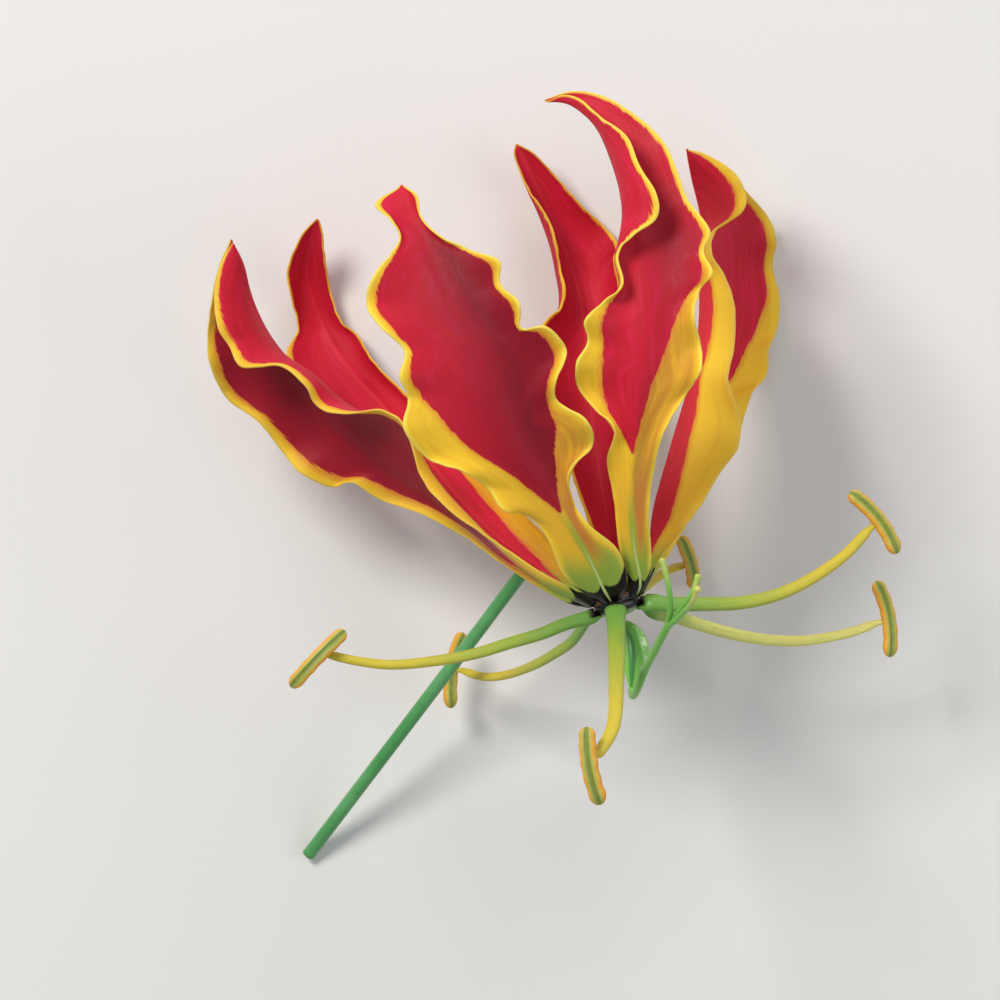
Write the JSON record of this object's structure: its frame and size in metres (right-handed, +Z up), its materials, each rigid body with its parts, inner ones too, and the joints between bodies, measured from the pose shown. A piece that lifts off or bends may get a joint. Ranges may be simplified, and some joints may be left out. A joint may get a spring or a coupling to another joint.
{
  "type": "glory lily bloom",
  "caption": "Single glory lily bloom cut with its flower stalk: swept-back petals with waved margins, spreading stamens, ovary and bent style, lying on a surface.",
  "frame": {"origin": "centre of the footprint, on the surface that the bloom lies on", "axes": "+Z up from the surface; +Y roughly along the flower's axis from the stamens to the petal tips; +X to the right in the front view"},
  "size_m": [0.1158, 0.1289, 0.0872],
  "materials": {
    "petal": "satin crimson petal with yellow waved margins, green-yellow claw and dark maroon base",
    "filament": "smooth green turning to yellow",
    "anther": "matt olive green with orange pollen lines",
    "pistil": "waxy light green",
    "stalk": "waxy mid green"
  },
  "bodies": {
    "root": {"petal_front_left": "petal", "petal_front_right": "petal", "petal_right": "petal", "petal_back": "petal", "petal_back_left": "petal", "petal_left": "petal", "filament_front": "filament", "filament_left": "filament", "filament_lower_left": "filament", "filament_right": "filament", "filament_lower_right": "filament", "filament_back": "filament", "anther_front": "anther", "anther_left": "anther", "anther_lower_left": "anther", "anther_right": "anther", "anther_lower_right": "anther", "anther_back": "anther", "ovary": "pistil", "style": "pistil", "stalk": "stalk"}
  },
  "joints": []
}
